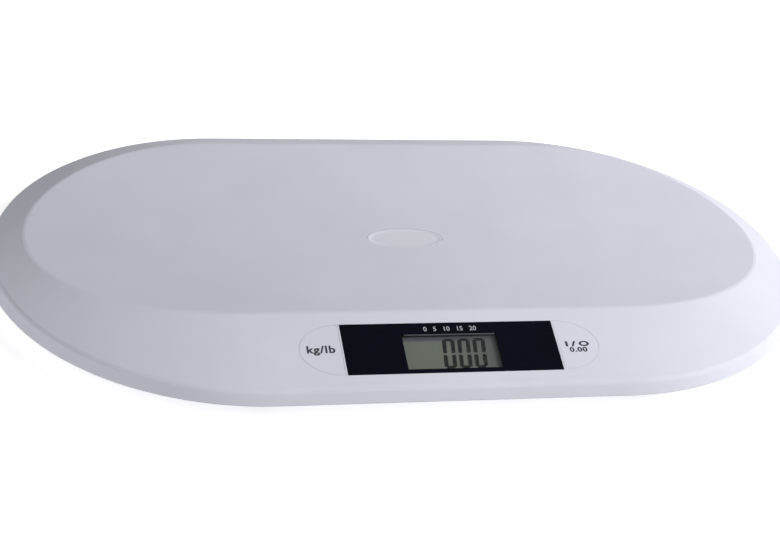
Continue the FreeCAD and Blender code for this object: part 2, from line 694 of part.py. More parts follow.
def make_base():
    start = ((s.tray_length - s.tray_width) / 2, s.tray_width / 2 - s.base_inset, 0)
    lean = "skirt_flare * (base_lift + base_height - ground_gap) / skirt_height"
    top = f"2 * ({lean} + {SKIRT_WALL} + base_gap)"
    foot = "2 * base_inset"
    toe = f"{foot} + 2 * base_chamfer"
    outside = slot_loft(
        "base_block",
        ("base_lift", f"tray_length - ({toe})", f"tray_width - ({toe})", "0", start),
        ("base_lift + base_chamfer / 2", f"tray_length - {foot}", f"tray_width - {foot}", "0", start),
        ("base_lift + base_height", f"tray_length - {top}", f"tray_width - {top}", "0", start),
    )
    inside = slot_loft(
        "base_hollow",
        ("base_lift + base_wall", f"tray_length - {foot} - 2 * base_wall",
         f"tray_width - {foot} - 2 * base_wall", "0", start),
        ("base_lift + base_height + 0.01", f"tray_length - {top} - 2 * base_wall",
         f"tray_width - {top} - 2 * base_wall", "0", start),
    )
    pan = cut("base_pan", outside, [inside])
    filled = fuse("base_filled", [pan] + base_supports())
    part("lower_shell", cut("lower_shell", filled, base_openings()))


def make_shell_screws():
    screws = []
    for number, (x, y) in enumerate(boss_places()):
        place = turned_down(at(x, y, s.base_lift + s.shell_sink))
        screws.append(screw(f"shell_screw_{number}", "shell_screw_radius", "shell_screw_length",
                            "shell_head_radius", "shell_head_height", place))
    part("shell_screws", group("shell_screw_set", screws))


# --- display, board and keys --------------------------------------------------------------

def make_bezel():
    plate = box("bezel_plate", "bezel_length", "bezel_width", "bezel_thickness",
                on_slope(0, bezel_v, -s.bezel_thickness))
    aperture = box("bezel_aperture", "aperture_length", "aperture_width", "bezel_thickness + 2",
                   on_slope(0, aperture_v, -s.bezel_thickness - 1))
    part("display_bezel", cut("display_bezel", plate, [aperture]))


def make_display():
    lens = box("display_lens", "aperture_length + 2 * lens_lap", "aperture_width + 2 * lens_lap",
               "shell_wall - bezel_thickness", on_slope(0, aperture_v, -s.shell_wall))
    part("display_lens", lens)
    glass_z = -s.shell_wall - s.glass_thickness
    part("display_glass", box("display_glass", "glass_length", "glass_width", "glass_thickness",
                              on_slope(0, aperture_v, glass_z)))
    room = "glass_length + 2 * holder_gap"
    room_v = "glass_width + 2 * holder_gap"
    frame = box("holder_block", f"{room} + 2 * holder_wall", f"{room_v} + 2 * holder_wall",
                "board_depth - shell_wall", on_slope(0, aperture_v, board_top))
    seat = box("holder_seat", room, room_v, "glass_thickness + 1", on_slope(0, aperture_v, glass_z))
    under = box("holder_under", room, room_v, "board_depth - shell_wall - glass_thickness - holder_floor",
                on_slope(0, aperture_v, board_top))
    slots = []
    strips = []
    for number, side in enumerate((-1, 1)):
        v = aperture_v + side * s.strip_spread / 2
        slots.append(box(f"strip_slot_{number}", "strip_length + 2 * holder_gap",
                         "strip_width + 2 * holder_gap", "board_depth", on_slope(0, v, board_top)))
        strips.append(box(f"strip_{number}", "strip_length", "strip_width",
                          "board_depth - shell_wall - glass_thickness", on_slope(0, v, board_top)))
    part("display_holder", cut("display_holder", frame, [seat, under] + slots))
    part("contact_strips", group("contact_strip_set", strips))


def make_board():
    plate = box("board_plate", "board_length", "board_width", "board_thickness",
                on_slope(0, board_v, board_foot))
    holes = []
    screws = []
    for number, (x, v) in enumerate(post_places()):
        holes.append(cylinder(f"board_hole_{number}", "board_screw_radius + head_clearance / 2",
                              "board_thickness + 2", on_slope(x, v, board_foot - 1)))
        place = turned_down(on_slope(x, v, board_foot))
        screws.append(screw(f"board_screw_{number}", "board_screw_radius", "board_screw_length",
                            "board_head_radius", "board_head_height", place))
    part("main_board", cut("main_board", plate, holes))
    part("board_screws", group("board_screw_set", screws))
    cap = (("0", "0"), ("chip_radius", "0"), ("0.9 * chip_radius", "0.5 * chip_height"),
           ("0.6 * chip_radius", "0.9 * chip_height"), ("0", "chip_height"))
    part("chip_cover", turned("chip_cover", cap, turned_down(on_slope(0, board_v, board_foot))))


def make_connectors():
    blocks = []
    for name, x in CONNECTOR_X.items():
        place = on_slope(x, board_v + s.connector_row, board_foot - s.connector_height)
        blocks.append(box(f"connector_{name}", "connector_length", "connector_width",
                          "connector_height", place))
    part("lead_connectors", group("connector_set", blocks))


def make_keys():
    for label, side in (("unit", -1), ("power", 1)):
        inner = key_straight + s.key_gap
        half = key_half - s.key_gap
        reach = s.key_reach - 2 * s.key_gap
        foot = -s.shell_wall - s.key_flange_gap - s.key_flange_height
        cap = half_oval(inner, reach, half, foot, 0, side)
        flange = half_oval(key_straight - s.key_flange, s.key_reach + 2 * s.key_flange,
                           key_half + s.key_flange, foot, foot + s.key_flange_height, side)
        hollow = half_oval(inner + s.key_wall, reach - 2 * s.key_wall, half - s.key_wall, foot - 1,
                           -s.key_thickness, side)
        stem_top = board_top + s.switch_height + s.stem_rise
        plunger = Part.makeCylinder(s.key_plunger_radius, -s.key_thickness / 2 - stem_top,
                                    Vector(side * s.switch_x, 0, stem_top))
        shape = cap.fuse(flange).cut(hollow).fuse(plunger).removeSplitter()
        part(f"{label}_key", solid(f"{label}_key", shape, on_slope(0, bezel_v)))
        make_switch(label, side)


def make_switch(label, side):
    x = side * s.switch_x
    body = box(f"{label}_switch_block", "switch_side", "switch_side", "switch_height",
               on_slope(x, bezel_v, board_top))
    hole_top = on_slope(x, bezel_v, board_top + s.switch_height)
    hole = cylinder(f"{label}_switch_hole", "stem_radius + stem_gap",
                    "stem_length - stem_rise + key_travel + stem_gap", turned_down(hole_top))
    part(f"{label}_switch", cut(f"{label}_switch", body, [hole]))
    stem_foot = board_top + s.switch_height + s.stem_rise - s.stem_length
    stem = cylinder(f"{label}_switch_stem", "stem_radius", "stem_length", on_slope(x, bezel_v, stem_foot))
    part(f"{label}_switch_stem", stem)


# --- feet --------------------------------------------------------------------------------------

def make_foot(name, x, y):
    pad = turned(f"pad_{name}", (("0", "0"), ("pad_radius - 1", "0"), ("pad_radius", "1"),
                                 ("pad_radius", "pad_height"), ("0", "pad_height")), at(x, y, 0))
    part(f"foot_pad_{name}", pad)
    rim = "pad_height - pad_sink"
    flange = "base_lift + base_wall + flange_gap"
    wide = "cup_radius + cup_gap + flange_overlap"
    recess = "pad_radius + pad_gap"
    top = f"{flange} + flange_height"
    cup = turned(f"cup_{name}", (
        ("0", "pad_height"), (recess, "pad_height"), (recess, rim), ("cup_radius - cup_round", rim),
        ("cup_radius", f"{rim} + cup_round"), ("cup_radius", flange), (wide, flange), (wide, top),
        ("cup_stem_radius", top), ("cup_stem_radius", f"{top} + cell_gap"), ("0", f"{top} + cell_gap"),
    ), at(x, y, 0))
    part(f"foot_cup_{name}", cup)


def make_load_cell(name, x, y, x_sign):
    place = at(x, y, cell_z)
    plate = box(f"cell_plate_{name}", "cell_side", "cell_side", "cell_thickness", place)
    inner = "(cell_side - 2 * cell_frame)"
    tongue = f"({inner} - 2 * cell_slot)"
    window = box(f"cell_window_{name}", inner, inner, "cell_thickness + 2", at(x, y, cell_z - 1))
    keep = box(f"cell_tongue_{name}", inner, tongue, "cell_thickness",
               at(x + x_sign * s.cell_slot, y, cell_z))
    frame = cut(f"cell_frame_{name}", plate, [window])
    part(f"load_cell_{name}", fuse(f"load_cell_{name}", [frame, keep]))
    gauge = box(f"strain_gauge_{name}", "gauge_length", "gauge_width", "gauge_thickness", at(x, y, clamp_z))
    part(f"strain_gauge_{name}", gauge)


def make_clamp(name, x, y):
    plate = box(f"clamp_plate_{name}", "clamp_side", "clamp_side", "clamp_height", at(x, y, clamp_z))
    ears = box(f"clamp_ears_{name}", "2 * clamp_screw_x + clamp_ear_width", "clamp_ear_width", "clamp_height",
               at(x, y, clamp_z))
    holes = [cylinder(f"clamp_bore_{name}", "clamp_hole_radius", "clamp_height + 2", at(x, y, clamp_z - 1))]
    screws = []
    for ear in (-1, 1):
        ear_x = x + ear * s.clamp_screw_x
        holes.append(cylinder(f"clamp_hole_{name}_{ear + 1}", "board_screw_radius + head_clearance / 2",
                              "clamp_height + 2", at(ear_x, y, clamp_z - 1)))
        screws.append(screw(f"clamp_screw_{name}_{ear + 1}", "board_screw_radius", "board_screw_length",
                            "board_head_radius", "board_head_height", at(ear_x, y, clamp_z + s.clamp_height)))
    part(f"cell_clamp_{name}", cut(f"cell_clamp_{name}", fuse(f"clamp_blank_{name}", [plate, ears]), holes))
    return screws


def make_feet():
    screws = []
    for name, x, y, x_sign, y_sign in foot_places():
        make_foot(name, x, y)
        make_load_cell(name, x, y, x_sign)
        screws += make_clamp(name, x, y)
    part("clamp_screws", group("clamp_screw_set", screws))


# --- battery bay -----------------------------------------------------------------------------------

def make_door():
    plate = box("door_plate", "door_length", "door_width", "door_thickness", at(0, s.bay_y, s.base_lift))
    things = [plate]
    tab_z = s.base_lift + s.door_thickness - s.tab_thickness
    for number, side in enumerate((-1, 1)):
        things.append(box(f"door_tab_{number}", "tab_width", "2 * tab_length", "tab_thickness",
                          at(side * s.tab_spread / 2, hinge_y, tab_z)))
    nose_y = s.bay_y - s.door_width / 2
    things.append(box("latch_nose", "latch_width - 2 * latch_slot", "2 * latch_nose", "door_thickness / 2",
                      at(0, nose_y, s.base_lift)))
    slots = []
    for side in (-1, 1):
        slots.append(box(f"latch_slot_{side + 1}", "latch_slot", "latch_length", "door_thickness + 2",
                         at(side * s.latch_width / 2, nose_y + s.latch_length / 2 - 0.5, s.base_lift - 1)))
    dip_axis = Vector(-s.latch_width / 2 + 2 * s.latch_slot, nose_y + s.latch_length / 2,
                      s.base_lift - s.dip_radius + s.dip_depth)
    dip = cylinder("finger_dip", "dip_radius", "latch_width - 4 * latch_slot",
                   Placement(dip_axis, Rotation(Vector(0, 1, 0), 90)))
    part("battery_door", cut("battery_door", fuse("door_blank", things), slots + [dip]))


def make_batteries():
    """Two cells side by side, the studs at opposite ends."""
    corners = (("0", "0"), ("battery_radius - 0.5", "0"), ("battery_radius", "0.5"),
               ("battery_radius", "battery_length - 0.5"), ("battery_radius - 0.5", "battery_length"),
               ("battery_stud_radius", "battery_length"),
               ("battery_stud_radius", "battery_length + battery_stud"),
               ("0", "battery_length + battery_stud"))
    for label, side in (("front", -1), ("back", 1)):
        y = s.bay_y + side * (s.battery_radius + s.battery_gap / 2)
        flat_end = -side * (bay_length / 2 - s.spring_room)
        spin = Rotation(Vector(0, 1, 0), 90 * side)
        place = Placement(Vector(flat_end, y, battery_z), spin)
        part(f"battery_{label}", turned(f"battery_{label}", corners, place))


def coil_points(length):
    """Points round a coil along Z, far enough out for the arcs between them to lie on it."""
    count = int(s.spring_turns * COIL_STEPS)
    reach = s.spring_radius / math.cos(math.pi / COIL_STEPS / 2)
    turn = 2 * math.pi / COIL_STEPS
    return [Vector(reach * math.cos(k * turn), reach * math.sin(k * turn), length * k / count)
            for k in range(count + 1)]


def make_contacts():
    """Plates on the bay's end walls, with a spring for each battery's flat end."""
    wall = bay_length / 2
    half = s.contact_thickness / 2
    spring_length = s.spring_room - s.contact_thickness - 2 * s.spring_wire_radius
    row = s.battery_radius + s.battery_gap / 2
    springs = {}
    for side in (-1, 1):
        wire = tube(coil_points(spring_length), s.spring_wire_radius, s.spring_radius)
        root = -side * (wall - s.contact_thickness - s.spring_wire_radius)
        place = Placement(Vector(root, s.bay_y + side * row, battery_z), Rotation(Vector(0, 1, 0), 90 * side))
        springs[side] = solid(f"spring_{side + 1}", wire, place)
    height = battery_z - s.contact_side / 2
    plate = box("contact_positive_plate", "contact_thickness", "contact_side", "contact_side",
                at(-wall + half, s.bay_y - row, height))
    part("contact_positive", plate)
    plate = box("contact_negative_plate", "contact_thickness", "contact_side", "contact_side",
                at(-wall + half, s.bay_y + row, height))
    part("contact_negative", group("contact_negative_set", [plate, springs[1]]))
    bridge = box("contact_bridge_plate", "contact_thickness",
                 "contact_side + 2 * battery_radius + battery_gap", "contact_side",
                 at(wall - half, s.bay_y, height))
    part("contact_bridge", group("contact_bridge_set", [bridge, springs[-1]]))


# --- leads and badge ------------------------------------------------------------------------------------

def connector_entry(name, shift=0.0):
    """A lead's last run: a point up the slope, then the middle of its connector's side face."""
    x = CONNECTOR_X[name] + shift
    v = board_v + s.connector_row + s.connector_width / 2
    w = board_foot - s.connector_height / 2
    return [on_slope(x, v + s.lead_run_in, w).Base, on_slope(x, v, w).Base]


def make_leads():
    low = floor_z + s.lead_lift + s.lead_radius
    for name, x, y, x_sign, y_sign in foot_places():
        start = Vector(x - x_sign * s.cell_side / 2, y - y_sign * s.lead_exit, cell_z + s.cell_thickness / 2)
        entry = connector_entry(name)
        lane_x = x_sign * s.lead_lane_x
        lane_y = entry[0].y + (s.back_lane_run if y_sign > 0 else s.front_lane_run)
        route = [start, Vector(lane_x, start.y, start.z), Vector(lane_x, lane_y, low),
                 Vector(entry[0].x, lane_y, low)] + entry
        lead = tube(route, s.lead_radius, s.lead_bend)
        part(f"cell_lead_{name}", solid(f"cell_lead_{name}", lead))


def make_battery_wires():
    """Two wires from the bay's left end wall to the battery connector."""
    wall = -(bay_length / 2 + s.bay_wall)
    row = s.battery_radius + s.battery_gap / 2
    low = floor_z + s.lead_lift + s.wire_radius
    for label, side in (("red", -1), ("black", 1)):
        entry = connector_entry("battery", -side * s.wire_spread / 2)
        lane_x = entry[0].x
        start = Vector(wall, s.bay_y + side * row, battery_z)
        route = [start, Vector(lane_x, start.y, start.z), Vector(lane_x, s.label_y, low),
                 Vector(lane_x, entry[0].y + s.back_lane_run, low)] + entry
        wire = tube(route, s.wire_radius, s.lead_bend)
        part(f"battery_wire_{label}", solid(f"battery_wire_{label}", wire))


def make_badge():
    oval = Part.Ellipse(Vector(), s.badge_length / 2, s.badge_width / 2)
    plate = Part.Face(Part.Wire(oval.toShape())).extrude(Vector(0, 0, s.badge_thickness))
    part("badge", solid("badge", plate, at(0, s.badge_y, dish_z - s.badge_sink)))


def check_and_write():
    """Stop on any failed feature or bad shape, then write one file for each sub-part."""
    doc.recompute()
    for thing in doc.Objects:
        if {"Invalid", "Error"} & set(thing.State):
            raise RuntimeError(f"{thing.Name} is {thing.State}")
    os.makedirs("parts", exist_ok=True)
    for thing in parts:
        if thing.Shape.isNull() or not thing.Shape.isValid() or not thing.Shape.Solids:
            raise RuntimeError(f"{thing.Label} has no valid shape")
    for thing in parts:
        thing.Shape.exportStep(f"parts/{thing.Label}.step")
        print(f"{thing.Label}: {len(thing.Shape.Solids)} solids, {thing.Shape.Volume:.1f} mm3")


make_tray()
make_base()
make_shell_screws()
make_bezel()
make_display()
make_board()
make_connectors()
make_keys()
make_feet()
make_door()
make_batteries()
make_contacts()
make_leads()
make_battery_wires()
make_badge()
check_and_write()
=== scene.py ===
import json
import math

import bmesh
import bpy
from mathutils import Matrix, Vector


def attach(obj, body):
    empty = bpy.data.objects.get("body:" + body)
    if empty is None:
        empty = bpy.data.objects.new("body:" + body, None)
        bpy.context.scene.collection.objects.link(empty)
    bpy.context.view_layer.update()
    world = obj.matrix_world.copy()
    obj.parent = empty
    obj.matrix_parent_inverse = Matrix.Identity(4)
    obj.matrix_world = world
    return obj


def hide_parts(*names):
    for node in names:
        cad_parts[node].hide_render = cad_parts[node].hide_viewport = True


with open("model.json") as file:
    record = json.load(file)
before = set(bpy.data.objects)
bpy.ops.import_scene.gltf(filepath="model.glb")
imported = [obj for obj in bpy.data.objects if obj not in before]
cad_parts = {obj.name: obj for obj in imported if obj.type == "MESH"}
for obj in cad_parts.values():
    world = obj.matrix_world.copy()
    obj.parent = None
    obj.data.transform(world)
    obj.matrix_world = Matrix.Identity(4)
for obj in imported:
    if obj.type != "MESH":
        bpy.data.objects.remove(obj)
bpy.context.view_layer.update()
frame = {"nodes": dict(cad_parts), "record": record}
nodes = frame["nodes"]
scene = bpy.context.scene
scene.view_settings.view_transform = "Standard"
MM = 0.001

# --- places -----------------------------------------------------------------------------
# On the front slope X runs along the tray, Y climbs from the crease and Z leaves the face.

SLOPE_RISE, SLOPE_RUN = 18, 56.4  # mm, from the crease to the crest
CREASE_Y, CREASE_Z = -0.1614, 0.0205  # metres
SLOPE_ANGLE = math.atan2(SLOPE_RISE, SLOPE_RUN)
SLOPE = Matrix.Translation((0, CREASE_Y, CREASE_Z)) @ Matrix.Rotation(SLOPE_ANGLE, 4, "X")
BEZEL_V = 29.59  # mm up the slope, close to the middle of the panel and the keys
APERTURE = (0, 26.99, 60, 27)  # mm: middle x, middle v, length, width
GLASS_TOP = -2.5  # mm, under the slope's face


def on_slope(x=0.0, v=0.0, w=0.0):
    """A place on the slope in millimetres: x along the tray, v up the slope and w off its face."""
    return SLOPE @ Matrix.Translation((x * MM, v * MM, w * MM))


# --- camera, light and floor ---------------------------------------------------------------

LAMPS = (  # name, azimuth and elevation in degrees, distance, width and height in metres, watts
    ("right_lamp", 351, 38, 2.5, 1.0, 1.0, 53.5),
    ("front_lamp", 330, 35, 1.2, 0.6, 0.6, 4.4),
    ("left_lamp", 220, 50, 2.5, 1.0, 1.0, 10.2),
    ("low_lamp", 205, 4, 2.5, 1.6, 0.2, 19),
    ("under_lamp", 300, -72, 2.5, 1.2, 1.2, 10),
)
FRAME_WIDTH = 780  # pixels, for which the camera's focal length is given
SKY_TINT, SKY_LIGHT = (0.94, 0.95, 1.0, 1), 0.01
FLOOR_RADIUS, FLOOR_GREY, FLOOR_ROUGH = 40, 0.85, 0.9
FLOOR_DROP = 0.02 * MM  # keeps the floor clear of the pads' faces
FADE_START, FADE_END = 0.8, 1.4  # metres from the scale's middle, where the floor's glow rises
GLOW_NEAR, GLOW_FAR = 0.735, 1.0  # the floor's glow before and after that


def polar(azimuth, elevation, distance):
    """A point round the scale; azimuth 0 is at +X and 90 at +Y."""
    azimuth, elevation = math.radians(azimuth), math.radians(elevation)
    level = math.cos(elevation)
    return distance * Vector((level * math.cos(azimuth), level * math.sin(azimuth), math.sin(elevation)))


def add_camera():
    azimuth, elevation, roll = -0.2826, 0.5351, 0.1345
    focal, distance, target = 1691.87, 1.13173, Vector((-0.01167, -0.01772, 0.0115))
    back = Vector((math.sin(azimuth) * math.cos(elevation), -math.cos(azimuth) * math.cos(elevation),
                   math.sin(elevation)))
    right = Vector((math.cos(azimuth), math.sin(azimuth), 0))
    up = back.cross(right)
    level = Matrix((right, up, back)).transposed()
    data = bpy.data.cameras.new("camera")
    data.sensor_width = 36
    data.lens = data.sensor_width * focal / FRAME_WIDTH
    data.clip_start, data.clip_end = 0.05, 100
    camera = bpy.data.objects.new("camera", data)
    scene.collection.objects.link(camera)
    camera.matrix_world = (Matrix.Translation(target + back * distance) @ level.to_4x4()
                           @ Matrix.Rotation(roll, 4, "Z"))
    scene.camera = camera


def add_lamp(name, azimuth, elevation, distance, wide, tall, power):
    """A softbox that faces the scale."""
    data = bpy.data.lights.new(name, "AREA")
    data.shape = "RECTANGLE"
    data.size, data.size_y = wide, tall
    data.energy = power
    lamp = bpy.data.objects.new(name, data)
    scene.collection.objects.link(lamp)
    place = polar(azimuth, elevation, distance)
    lamp.matrix_world = Matrix.Translation(place) @ (-place).to_track_quat("-Z", "Y").to_matrix().to_4x4()


def calculated(nt, operation, first, second):
    node = nt.nodes.new("ShaderNodeMath")
    node.operation = operation
    nt.links.new(first, node.inputs[0])
    nt.links.new(second, node.inputs[1])
    return node.outputs[0]


def ranged(nt, value, start, end, low=0.0, high=1.0):
    """A value from start to end, turned into one from low to high."""
    node = nt.nodes.new("ShaderNodeMapRange")
    for socket, number in (("From Min", start), ("From Max", end), ("To Min", low), ("To Max", high)):
        node.inputs[socket].default_value = number
    nt.links.new(value, node.inputs["Value"])
    return node


def mixed_shaders(nt, share, first, second):
    node = nt.nodes.new("ShaderNodeMixShader")
    for socket, source in zip(node.inputs, (share, first, second)):
        nt.links.new(source, socket)
    return node.outputs[0]


def new_material(name):
    mat = bpy.data.materials.new(name)
    mat.use_nodes = True
    return mat, mat.node_tree


def object_place(nt):
    return nt.nodes.new("ShaderNodeTexCoord").outputs["Object"]


def seen_directly(nt):
    """1 for rays that the eye, a reflection or glass sends, 0 for the light on the object."""
    path = nt.nodes.new("ShaderNodeLightPath")
    total = path.outputs["Is Camera Ray"]
    for ray in ("Is Glossy Ray", "Is Transmission Ray"):
        total = calculated(nt, "MAXIMUM", total, path.outputs[ray])
    return total


def add_world():
    """Faint light from all round, and plain white for the eye."""
    world = bpy.data.worlds.new("studio")
    world.use_nodes = True
    nt = world.node_tree
    light = nt.nodes["Background"]
    light.inputs["Color"].default_value = SKY_TINT
    light.inputs["Strength"].default_value = SKY_LIGHT
    white = nt.nodes.new("ShaderNodeBackground")
    white.inputs["Color"].default_value = (1, 1, 1, 1)
    white.inputs["Strength"].default_value = 1.0
    shown = mixed_shaders(nt, seen_directly(nt), light.outputs[0], white.outputs[0])
    nt.links.new(shown, nt.nodes["World Output"].inputs["Surface"])
    scene.world = world


def floor_material():
    """Pale matte with a glow that makes up for the lamps far out. From below, and for lamps, it is clear."""
    mat, nt = new_material("floor_white")
    matte = nt.nodes["Principled BSDF"]
    matte.inputs["Base Color"].default_value = (FLOOR_GREY, FLOOR_GREY, FLOOR_GREY, 1)
    matte.inputs["Roughness"].default_value = FLOOR_ROUGH
    away = nt.nodes.new("ShaderNodeVectorMath")
    away.operation = "LENGTH"
    nt.links.new(object_place(nt), away.inputs[0])
    level = ranged(nt, away.outputs["Value"], FADE_START, FADE_END, GLOW_NEAR, GLOW_FAR)
    glow = nt.nodes.new("ShaderNodeEmission")
    nt.links.new(calculated(nt, "MULTIPLY", seen_directly(nt), level.outputs[0]), glow.inputs["Strength"])
    both = nt.nodes.new("ShaderNodeAddShader")
    nt.links.new(matte.outputs[0], both.inputs[0])
    nt.links.new(glow.outputs[0], both.inputs[1])
    clear = nt.nodes.new("ShaderNodeBsdfTransparent")
    passing = calculated(nt, "MAXIMUM", nt.nodes.new("ShaderNodeNewGeometry").outputs["Backfacing"],
                         nt.nodes.new("ShaderNodeLightPath").outputs["Is Shadow Ray"])
    one_way = mixed_shaders(nt, passing, both.outputs[0], clear.outputs[0])
    nt.links.new(one_way, nt.nodes["Material Output"].inputs["Surface"])
    return mat


def add_floor():
    """A floor that looks white and keeps a light shadow."""
    mesh = bpy.data.meshes.new("floor")
    bm = bmesh.new()
    bmesh.ops.create_circle(bm, cap_ends=True, radius=FLOOR_RADIUS, segments=96)
    bm.to_mesh(mesh)
    bm.free()
    floor = bpy.data.objects.new("floor", mesh)
    scene.collection.objects.link(floor)
    mesh.materials.append(floor_material())
    floor.location.z = -FLOOR_DROP


# --- materials ---------------------------------------------------------------------------------

NOISE_SPAN = (0.3, 0.7)  # where most of a noise lies
MOTTLE_SCALE, GLOSS_SCALE = 22, 160  # of the noises that vary a surface's colour and roughness
PANE_TINT, PANE_GLOSS = (0.95, 0.97, 0.97, 1), 0.012  # colour that passes the window, and share of shine


def noise(nt, vector, scale, detail=2.0):
    node = nt.nodes.new("ShaderNodeTexNoise")
    node.inputs["Scale"].default_value = scale
    node.inputs["Detail"].default_value = detail
    nt.links.new(vector, node.inputs["Vector"])
    return node.outputs[0]


def mapped(nt, value, low, high):
    """A noise, which stays near 0.5, spread over low to high."""
    return ranged(nt, value, *NOISE_SPAN, low, high).outputs[0]


def blended(nt, value, first, second):
    node = nt.nodes.new("ShaderNodeMix")
    node.data_type = "RGBA"
    nt.links.new(value, node.inputs["Factor"])
    for socket, colour in ((node.inputs[6], first), (node.inputs[7], second)):
        if hasattr(colour, "is_output"):
            nt.links.new(colour, socket)
        else:
            socket.default_value = (*colour, 1)
    return node.outputs[2]


def shade(colour, share):
    return tuple(min(1.0, channel * share) for channel in colour)


def bumped(nt, bsdf, height, strength, depth):
    bump = nt.nodes.new("ShaderNodeBump")
    bump.inputs["Strength"].default_value = strength
    bump.inputs["Distance"].default_value = depth
    nt.links.new(height, bump.inputs["Height"])
    nt.links.new(bump.outputs[0], bsdf.inputs["Normal"])


def surface(name, colour, rough, grain=1800, strength=0.15, depth=0.00003, mottle=0.02, rough_spread=0.05,
            metallic=0.0, specular=0.5, coat=0.0):
    """Moulded plastic, metal or rubber: broad mottling, uneven gloss and a fine grain."""
    mat, nt = new_material(name)
    bsdf = nt.nodes["Principled BSDF"]
    place = object_place(nt)
    broad = mapped(nt, noise(nt, place, MOTTLE_SCALE, 3), 0, 1)
    shown = blended(nt, broad, shade(colour, 1 - mottle), shade(colour, 1 + mottle))
    nt.links.new(shown, bsdf.inputs["Base Color"])
    uneven = mapped(nt, noise(nt, place, GLOSS_SCALE, 4), rough - rough_spread, rough + rough_spread)
    nt.links.new(uneven, bsdf.inputs["Roughness"])
    bumped(nt, bsdf, noise(nt, place, grain, 3), strength, depth)
    bsdf.inputs["Metallic"].default_value = metallic
    bsdf.inputs["Specular IOR Level"].default_value = specular
    bsdf.inputs["Coat Weight"].default_value = coat
    return mat


def window_pane(name):
    """Clear acrylic: light goes straight through, and the surface shines."""
    mat, nt = new_material(name)
    nt.nodes.remove(nt.nodes["Principled BSDF"])
    clear = nt.nodes.new("ShaderNodeBsdfTransparent")
    clear.inputs["Color"].default_value = PANE_TINT
    gloss = nt.nodes.new("ShaderNodeBsdfGlossy")
    nt.links.new(mapped(nt, noise(nt, object_place(nt), 300, 3), 0.03, 0.09), gloss.inputs["Roughness"])
    mix = nt.nodes.new("ShaderNodeMixShader")
    mix.inputs[0].default_value = PANE_GLOSS
    nt.links.new(clear.outputs[0], mix.inputs[1])
    nt.links.new(gloss.outputs[0], mix.inputs[2])
    nt.links.new(mix.outputs[0], nt.nodes["Material Output"].inputs["Surface"])
    return mat


WHITE = (0.66, 0.663, 0.742)
materials = {
    "white_shell": surface("tray_plastic", WHITE, 0.55, specular=0.05),
    "white_base": surface("base_plastic", shade(WHITE, 0.97), 0.55, grain=1300, strength=0.3, specular=0.15),
    "white_keys": surface("key_plastic", WHITE, 0.5, specular=0.06),
    "badge_gloss": surface("badge_plastic", (0.662, 0.670, 0.736), 0.34, strength=0.05, mottle=0.01,
                           specular=0.25),
    "black_bezel": surface("bezel_plastic", (0.0018, 0.0018, 0.0060), 0.26, strength=0.03, mottle=0.2,
                           rough_spread=0.02, specular=0.03),
    "clear_lens": window_pane("window_acrylic"),
    "lcd_glass": surface("crystal_glass", (0.16, 0.17, 0.14), 0.35, strength=0.02),
    "holder_plastic": surface("holder_plastic", (0.60, 0.60, 0.58), 0.5),
    "elastomer": surface("contact_rubber", (0.55, 0.42, 0.42), 0.6, grain=900, mottle=0.15),
    "circuit_board": surface("board_mask", (0.03, 0.15, 0.06), 0.35, grain=700, strength=0.4, mottle=0.15),
    "black_resin": surface("dark_resin", (0.015, 0.015, 0.016), 0.4, grain=500, mottle=0.2),
    "connector_plastic": surface("connector_nylon", (0.75, 0.72, 0.62), 0.5),
    "switch_metal": surface("tinned_cover", (0.55, 0.55, 0.56), 0.35, metallic=1.0, mottle=0.08),
    "screw_steel": surface("screw_zinc", (0.52, 0.53, 0.56), 0.32, metallic=1.0, mottle=0.1, grain=900),
    "battery_jacket": surface("battery_jacket", (0.06, 0.07, 0.10), 0.3, mottle=0.1, coat=0.4),
    "contact_metal": surface("contact_nickel", (0.62, 0.61, 0.57), 0.3, metallic=1.0, mottle=0.08),
    "red_wire": surface("red_insulation", (0.50, 0.02, 0.02), 0.45, mottle=0.08),
    "black_wire": surface("black_insulation", (0.02, 0.02, 0.02), 0.45, mottle=0.15),
    "foot_rubber": surface("foot_rubber", (0.035, 0.035, 0.038), 0.75, grain=700, strength=0.5, mottle=0.15),
    "grey_cups": surface("cup_plastic", (0.22, 0.22, 0.23), 0.55, grain=1300, strength=0.3),
    "cell_steel": surface("cell_steel", (0.50, 0.50, 0.52), 0.3, metallic=1.0, mottle=0.08, grain=900),
    "gauge_film": surface("gauge_film", (0.70, 0.66, 0.52), 0.3, mottle=0.1),
}
ink = surface("dark_ink", (0.036, 0.036, 0.047), 0.6, mottle=0.1, specular=0.2)
lcd_ink = surface("lcd_ink", (0.003, 0.004, 0.0035), 0.6, strength=0.02, mottle=0.2, specular=0.05)
white_ink = surface("white_ink", (0.40, 0.40, 0.44), 0.5, mottle=0.05)
# grey for a painted reflection on the bezel's inner wall over the window
edge_reflection_grey = surface("edge_reflection_grey", (0.11, 0.11, 0.12), 0.5, mottle=0.1)
battery_band = surface("battery_band", (0.45, 0.47, 0.50), 0.3, mottle=0.05)


def dress_nodes():
    """The CAD nodes keep their shape and get the material of their slot."""
    for row in frame["record"]["subparts"]:
        node = nodes[row["node"]]
        node.data.materials.clear()
        node.data.materials.append(materials[row["material_slot"]])


SOFTENED = (("display_bezel", 0.15), ("unit_key", 0.08), ("power_key", 0.08))  # CAD nodes, bevels in mm


def bevelled(obj, width):
    """Breaks the sharp edges of a piece or CAD node, so that they catch the light."""
    bevel = obj.modifiers.new("soft_edges", "BEVEL")
    bevel.width = width * MM
    bevel.segments = 2
    bevel.limit_method = "ANGLE"
    bevel.angle_limit = math.radians(40)


def even_shading(name):
    """Weighs a CAD node's shading by face size, so that roundings run into the flats without a step."""
    weigh = nodes[name].modifiers.new("even_shading", "WEIGHTED_NORMAL")
    weigh.mode = "FACE_AREA"
    weigh.keep_sharp = False


# --- pieces ----------------------------------------------------------------------------------------

